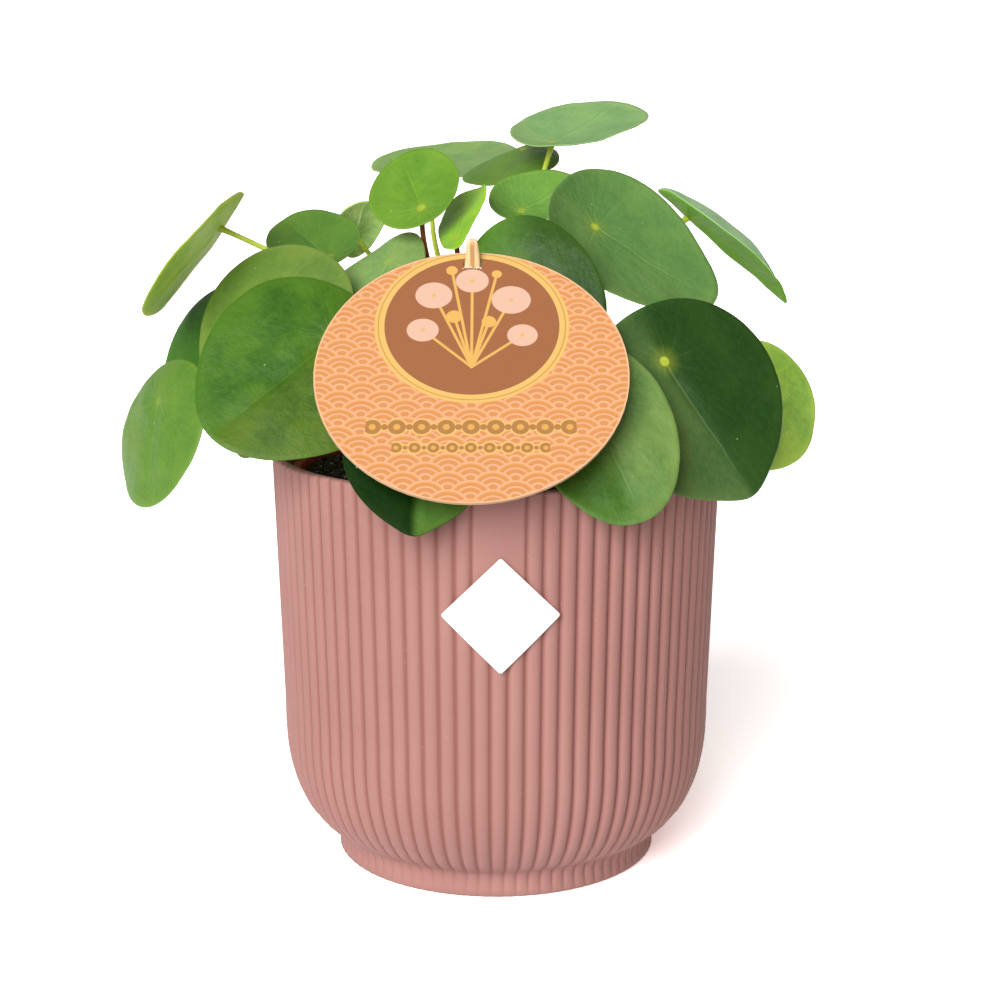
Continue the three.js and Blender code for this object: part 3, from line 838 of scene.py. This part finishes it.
def label_outline():
    """The label's outline as [across, up], counterclockwise from its right corner."""
    outline = []
    middle = LABEL_REACH - LABEL_CORNER * math.sqrt(2)
    for corner in range(4):
        facing = corner * math.pi / 2
        for i in range(LABEL_CORNER_POINTS):
            angle = facing - math.pi / 4 + i * math.pi / 2 / (LABEL_CORNER_POINTS - 1)
            outline.append([middle * math.cos(facing) + LABEL_CORNER * math.cos(angle),
                            middle * math.sin(facing) + LABEL_CORNER * math.sin(angle)])
    full = []
    for i, start in enumerate(outline):
        end = outline[(i + 1) % len(outline)]
        steps = LABEL_SIDE_POINTS if (i + 1) % LABEL_CORNER_POINTS == 0 else 1
        for share in np.arange(steps) / steps:
            full.append([start[0] + (end[0] - start[0]) * share, start[1] + (end[1] - start[1]) * share])
    return np.array(full)


def label(material):
    outline = label_outline()
    back = LABEL_BACKING + LABEL_LIFT
    # [share of the outline, height over the back], round the edge from back to front
    rounds = [(0.3, 0), (0.6, 0), (0.9, 0), (0.985, 0), (1, 0.12), (1, 0.42), (0.992, 0.56),
              (0.975, LABEL_THICK), (0.9, LABEL_THICK), (0.6, LABEL_THICK), (0.3, LABEL_THICK)]
    rings = []
    for share, lift in rounds:
        across, up = outline.T * share
        rings.append(turned(back + up * LABEL_SLOPE + lift, across / LABEL_BEND + LABEL_FACING,
                            LABEL_MIDDLE + up))
    middles = [turned(back + lift, LABEL_FACING, LABEL_MIDDLE) for lift in (0, LABEL_THICK)]
    points, faces = stack(rings, *middles)
    return add_piece("label_blank", points, faces, [material], ["label"])


def soil_height(x, y):
    """The height of the soil's surface."""
    share = math.hypot(x, y) / SOIL_EDGE[0]
    lumps = noise.noise(Vector((x, y, 0)) * 0.09) * 0.9 + noise.noise(Vector((x, y, 7)) * 0.35) * 0.55
    return SOIL_EDGE[1] + SOIL_MOUND * (1 - share ** 2) + lumps * min(1, (1 - share) * 8)


def icosahedron():
    """Its 12 corners at a distance of 1 from its middle, and its 20 faces, facing out."""
    golden = (1 + math.sqrt(5)) / 2
    corners = [(0, a, b * golden) for a in (-1, 1) for b in (-1, 1)]
    corners = np.array([np.roll(corner, turn) for turn in range(3) for corner in corners])
    edge = 2
    faces = []
    for i, j, k in combinations(range(12), 3):
        sides = [np.linalg.norm(corners[a] - corners[b]) for a, b in ((i, j), (j, k), (i, k))]
        if max(sides) < edge * 1.005:
            normal = np.cross(corners[j] - corners[i], corners[k] - corners[i])
            faces.append((i, j, k) if normal @ corners[i] > 0 else (i, k, j))
    return corners / np.linalg.norm(corners[0]), np.array(faces)


def soil(material):
    rng = np.random.default_rng(3)
    rings = [turned(SOIL_FLOOR[0], circle(SOIL_SIDES), SOIL_FLOOR[1])]
    for radius in np.linspace(SOIL_EDGE[0], SOIL_MIDDLE, SOIL_RINGS):
        ring = turned(radius, circle(SOIL_SIDES), 0)
        ring[:, 2] = [soil_height(x, y) for x, y, _ in ring]
        rings.append(ring)
    ground, faces = stack(rings, (0, 0, SOIL_FLOOR[1]), (0, 0, soil_height(0, 0)))
    points = [ground]
    pale = [np.zeros((len(ground), 3))]
    corners, grain_faces = icosahedron()
    for number in range(GRAINS):
        away = (SOIL_EDGE[0] - GRAIN_MARGIN) * math.sqrt(rng.uniform(0.01, 1))
        angle = rng.uniform(0, 2 * math.pi)
        x, y = away * math.sin(angle), -away * math.cos(angle)
        is_pale = rng.uniform() < PALE_GRAINS
        radius = rng.uniform(0.3, 0.7) if is_pale else rng.uniform(0.5, 1.5)
        # a loose grain is an icosahedron pulled out of shape
        stretch = rng.uniform(0.55, 1.25, 3)
        grain = corners * stretch * radius * rng.uniform(0.8, 1.2, (len(corners), 1))
        points.append(grain + [x, y, soil_height(x, y) + radius * 0.2])
        tone = rng.uniform(0.5, 1) if is_pale else rng.uniform(0, 0.12)
        pale.append(np.full((len(corners), 3), tone))
        faces += (grain_faces + len(ground) + number * len(corners)).tolist()
    return add_piece("soil_crumbs", np.concatenate(points), faces, [material], ["soil"],
                     attribute=("grain", np.concatenate(pale)))


def stem(material):
    angles = circle(STEM_SIDES)
    radii, levels = np.array(STEM, float).T
    rings = []
    for height in np.linspace(levels[0], levels[-1], STEM_LEVELS):
        # a leaf scar goes part of the way round at each step, as on a spiral
        near = np.cos(angles - height / SCAR_PITCH * SCAR_TURN) * 0.5 + 0.5
        phase = height % SCAR_PITCH / SCAR_PITCH
        relief = SWELLING * hump(phase, 0.2, 0.16) - SCAR_DEPTH * hump(phase, 0.5, 0.12)
        rings.append(turned(np.interp(height, levels, radii) + relief * near - STEM_INSET, angles, height))
    points, faces = stack(rings, (0, 0, levels[0]), (0, 0, STEM_TOP))
    return add_piece("stem_bark", points, faces, [material], ["stem"])


def stick(material):
    across = np.cos(circle(STICK_SIDES))
    through = np.sin(circle(STICK_SIDES))
    corner = np.abs(across) ** STICK_SQUARENESS + np.abs(through) ** STICK_SQUARENESS
    reach = corner ** (-1 / STICK_SQUARENESS)
    heights = np.concatenate([np.linspace(STICK_FOOT, STICK_TAPER - 1, 50),
                              np.linspace(STICK_TAPER - 0.2, STICK_TIP - 0.15, 16)])
    rings = []
    for height in heights:
        taper = np.clip((height - STICK_TAPER) / (STICK_TIP - STICK_TAPER), 0, 1)
        wide = STICK_WIDE / 2 * (1 - 0.32 * taper - 0.22 * taper ** 8)
        thick = STICK_THICK / 2 * (1 - 0.2 * taper - 0.35 * taper ** 8)
        sway = 0.05 * math.sin(height * 0.31) + 0.04 * math.sin(height * 0.83)
        rings.append(np.stack([STICK_AT[0] + across * reach * wide + sway,
                               STICK_AT[1] + through * reach * thick,
                               np.full(STICK_SIDES, height)], 1))
    points, faces = stack(rings, (*STICK_AT, STICK_FOOT), (*STICK_AT, STICK_TIP))
    return add_piece("stick_wood", points, faces, [material], ["stick"])


def card_tears(material):
    """The torn white fibres of the card round the stick."""
    rng = np.random.default_rng(11)
    right, up, out = (np.array(direction) for direction in ((1, 0, 0), CARD_UP, CARD_OUT))
    slot = (STICK_AT[1] - CARD_AT.y) / up[1]
    middle = np.array(CARD_AT) + up * (slot - TEAR_DROP)
    points = []
    faces = []
    for i in range(TEARS):
        x = TEARS_FROM + i * TEAR_PITCH + rng.uniform(-0.15, 0.15)
        width = rng.uniform(0.35, 0.6)
        height = rng.uniform(0.5, 1.3)
        lean = rng.uniform(-0.5, 0.2)
        foot = middle + right * x + up * rng.uniform(-0.4, 0.1)
        tip = foot + out * height + up * lean + right * rng.uniform(-0.3, 0.3)
        base = foot - out * TEAR_SINK
        start = len(points)
        points += [base - right * width, base + right * width, base + up * 0.35, tip]
        faces += [(start, start + 1, start + 3), (start + 1, start + 2, start + 3),
                  (start + 2, start, start + 3), (start, start + 2, start + 1)]
    return add_piece("card_tears", points, faces, [material], [])


def leaf_axes(leaf):
    """Out of the blade's upper face, towards its tip, and across it."""
    turn, rise, roll = (math.radians(leaf[key]) for key in ("turn", "rise", "roll"))
    out = np.array([math.cos(rise) * math.sin(turn), -math.cos(rise) * math.cos(turn), math.sin(rise)])
    down = np.array([math.sin(rise) * math.sin(turn), -math.sin(rise) * math.cos(turn), -math.cos(rise)])
    tip = down * math.cos(roll) + np.cross(out, down) * math.sin(roll)
    return out, tip, np.cross(out, tip)


def bulges(leaf, along, aside):
    """The uneven ground of a blade, in millimetres."""
    height = np.empty(np.shape(along))
    for index, (x, y) in enumerate(zip(np.ravel(along), np.ravel(aside))):
        place = Vector((x * 0.085, y * 0.085, leaf["seed"] * 3.7))
        height.flat[index] = noise.noise(place) + 0.35 * noise.noise(place * 2.7)
    return height * leaf["bulge"]


def blade_flat(leaf, share, angle):
    """Where points of the blade lie in its plane, along and aside, and their height over it."""
    long, wide = leaf["size"]
    from_tip = np.arctan2(np.sin(angle), np.cos(angle))
    reach = long * (0.5 - leaf["seat"]) + long / 2 * np.cos(angle)
    reach = reach + leaf["tip"] * hump(from_tip, 0, TIP_SPREAD)
    swing = np.sin(angle) * (1 + leaf["egg"] * np.cos(angle))
    along = share * reach
    aside = share * swing * wide / 2
    height = -leaf["cup"] * share ** 2 + leaf["fold"] * share * np.abs(swing)
    seed = leaf["seed"]
    ripple = np.sin(3 * angle + seed) * 0.6 + np.sin(5 * angle + 2.1 * seed) * 0.4
    height = height + leaf["wave"] * share ** 3 * ripple
    groove = hump(aside, 0, GROOVE_WIDTH) * np.clip(along / GROOVE_START, 0, 1) * (1 - share ** 2)
    from_hub = np.hypot(along, aside)
    dimple = DIMPLE_DEPTH * hump(from_hub, 0, DIMPLE_RADIUS)
    uneven = bulges(leaf, along, aside) * np.clip(from_hub / 6, 0, 1)
    return along, aside, height - leaf["crease"] * groove + uneven - dimple


def stalk_path(leaf, out):
    """The middle line of the stalk, from the stem to the blade."""
    hub = np.array(leaf["hub"], float)
    via = np.array(leaf["via"], float)
    away = via * [1, 1, 0]
    start = away / np.linalg.norm(away) * STALK_START
    start[2] = leaf["foot"]
    end = hub - out * STALK_SINK
    inner = start + (via - start) * 2 / 3
    outer = end + (via - end) * 2 / 3
    t = np.linspace(0, 1, STALK_STEPS + 1)[:, None]
    return (1 - t) ** 3 * start + 3 * (1 - t) ** 2 * t * inner + 3 * (1 - t) * t ** 2 * outer + t ** 3 * end


def stalk_mesh(leaf, out):
    """The stalk's points, the values its look needs of each, and its faces."""
    path = stalk_path(leaf, out)
    tangents = np.gradient(path, axis=0)
    tangents /= np.linalg.norm(tangents, axis=1)[:, None]
    tangents[-1] = out
    tangents[-2] = (tangents[-2] + out) / np.linalg.norm(tangents[-2] + out)
    cosines = np.cos(circle(STALK_SIDES))[:, None]
    sines = np.sin(circle(STALK_SIDES))[:, None]
    side = np.cross([0, 0, 1], tangents[0])
    rings = []
    marks = []
    for step, (middle, tangent) in enumerate(zip(path, tangents)):
        share = step / STALK_STEPS
        side = side - side @ tangent * tangent
        side /= np.linalg.norm(side)
        other = np.cross(tangent, side)
        radius = STALK_RADIUS - STALK_TAPER * share + FOOT_SWELLING * math.exp(-share * 22)
        radius += TOP_SWELLING * math.exp(-(1 - share) * 26)
        rings.append(middle + radius * (cosines * side + sines * other))
        marks.append(np.tile([share, leaf["stalk"], 0], (STALK_SIDES, 1)))
    points, faces = stack(rings, path[0], path[-1])
    marks.append([[0, leaf["stalk"], 0], [1, leaf["stalk"], 0]])
    return points, np.concatenate(marks), faces


def blade_mesh(leaf, out, tip, across):
    """The blade's points, the values its looks need of each, its faces, and each face's look."""
    hub = np.array(leaf["hub"], float)
    # the rings lie closer together towards the rim
    shares = np.linspace(0, 1, BLADE_RINGS + 1)[1:] ** 0.8
    # [share of the outline, drop below the upper face], from the lower hub round the rim to the upper one
    thick = BLADE_THICK - (BLADE_THICK - RIM_THICK) * shares[:-1] ** 4
    rounds = list(zip(shares[:-1], thick))
    rounds += [(0.996, RIM_THICK - 0.05), (1, RIM_THICK / 2), (0.996, 0.05)]
    rounds += [(share, 0) for share in shares[-2::-1]]
    rings = []
    marks = []
    for share, drop in rounds:
        along, aside, height = blade_flat(leaf, share, circle(BLADE_SIDES))
        level = (height - drop)[:, None] * out
        rings.append(hub + along[:, None] * tip + aside[:, None] * across + level)
        marks.append(np.stack([along, aside, np.full(BLADE_SIDES, share)], 1))
    top = blade_flat(leaf, 0, np.zeros(1))[2][0]
    points, faces = stack(rings, hub + out * (top - BLADE_THICK), hub + out * top)
    marks.append(np.zeros((2, 3)))
    lower_steps = BLADE_RINGS
    upper_steps = len(rings) - 1 - lower_steps
    looks = np.repeat([1, 0, 1, 0], np.array([lower_steps, upper_steps, 1, 1]) * BLADE_SIDES)
    return points, np.concatenate(marks), faces, looks.tolist()


def add_leaf(number, leaf, stalk_material):
    name = f"leaf_{number:02d}"
    out, tip, across = leaf_axes(leaf)
    points, marks, faces, looks = blade_mesh(leaf, out, tip, across)
    stalk_points, stalk_marks, stalk_faces = stalk_mesh(leaf, out)
    faces += [[corner + len(points) for corner in face] for face in stalk_faces]
    looks += [2] * len(stalk_faces)
    points = np.concatenate([points, stalk_points])
    marks = np.concatenate([marks, stalk_marks])
    tone = lit(*leaf["tone"])
    other = lit(*leaf.get("other", leaf["tone"]))
    under = lit(*leaf["under"], UNDER_GAIN)
    materials = [blade_look(name + "_upper", leaf, tone, other, True),
                 blade_look(name + "_lower", leaf, under, under, False), stalk_material]
    return add_piece(name + "_fine", points, faces, materials, [name], looks, ("blade", marks))


# ---- Stage ----


def studio_world():
    """A dim room with a white horizon, lighter behind and below the plant and redder to its right."""
    world = bpy.data.worlds.new("studio")
    world.use_nodes = True
    nodes = Nodes(world.node_tree)
    x, y, z = nodes.split(nodes.node("ShaderNodeTexCoord").outputs["Generated"])
    right = x.rise(0.1, 0.8) * z.rise(-0.4, -0.1)
    room = y.rise(0.2, 0.8) * ROOM_BEHIND + z.fall(-0.5, -0.1) * ROOM_BELOW + ROOM_LEVEL
    room = room + abs(x).rise(0.2, 0.9) * ROOM_SIDES + right * ROOM_RIGHT
    horizon = z.fall(0.06, 0.14) * z.rise(-0.1, -0.05)
    colour = nodes.mix(right * horizon.rest(), (1, 1, 1, 1), ROOM_RIGHT_TINT)
    nodes.fill(nodes.tree.nodes["Background"], Color=colour,
               Strength=horizon.rest() * room + horizon * HORIZON_LEVEL)
    bpy.context.scene.world = world


def stage():
    signs = ((-1, -1), (1, -1), (1, 1), (-1, 1))
    corners = [(x * FLOOR_REACH, y * FLOOR_REACH, -FLOOR_DROP * MM) for x, y in signs]
    floor = bpy.data.meshes.new("floor")
    floor.from_pydata(corners, [], [(0, 1, 2, 3)])
    floor.materials.append(floor_look())
    ground = add_object("floor", floor)
    ground.visible_diffuse = False
    studio_world()

    key = bpy.data.lights.new("key", "SUN")
    key.energy = KEY_POWER
    key.angle = math.radians(KEY_SPREAD)
    light = add_object("key", key)
    light.rotation_euler = (-Vector(KEY_FROM)).to_track_quat("-Z", "Y").to_euler()

    lens = bpy.data.cameras.new("camera")
    lens.lens = CAMERA_LENS
    lens.sensor_width = 36
    lens.shift_x = CAMERA_SHIFT
    camera = add_object("camera", lens)
    camera.location = Vector(CAMERA_AT) * MM
    camera.rotation_euler = (math.radians(90 - CAMERA_PITCH), 0, 0)
    bpy.context.scene.camera = camera
    bpy.context.scene.view_settings.view_transform = "Standard"


# ---- The part ----

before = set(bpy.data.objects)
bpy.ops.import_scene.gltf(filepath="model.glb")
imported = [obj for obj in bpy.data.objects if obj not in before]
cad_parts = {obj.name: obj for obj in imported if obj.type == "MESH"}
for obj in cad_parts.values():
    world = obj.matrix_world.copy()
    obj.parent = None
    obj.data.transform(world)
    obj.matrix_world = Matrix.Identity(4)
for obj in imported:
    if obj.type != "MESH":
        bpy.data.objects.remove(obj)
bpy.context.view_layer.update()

stage()
outer_pot(pot_look())
label(label_look())
lathe("grow_pot_rim", GROW_POT, GROW_POT_SIDES, grow_pot_look(), "grow_pot")
soil(soil_look())
stem(stem_look())
stick(stick_look())
card_tears(tear_look())
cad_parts["tag_card"].data.materials.clear()
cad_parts["tag_card"].data.materials.append(card_look())

stalk_material = stalk_look()
for number, entry in enumerate(LEAVES, 1):
    add_leaf(number, {"seed": number, **LEAF_SHAPE, **entry}, stalk_material)
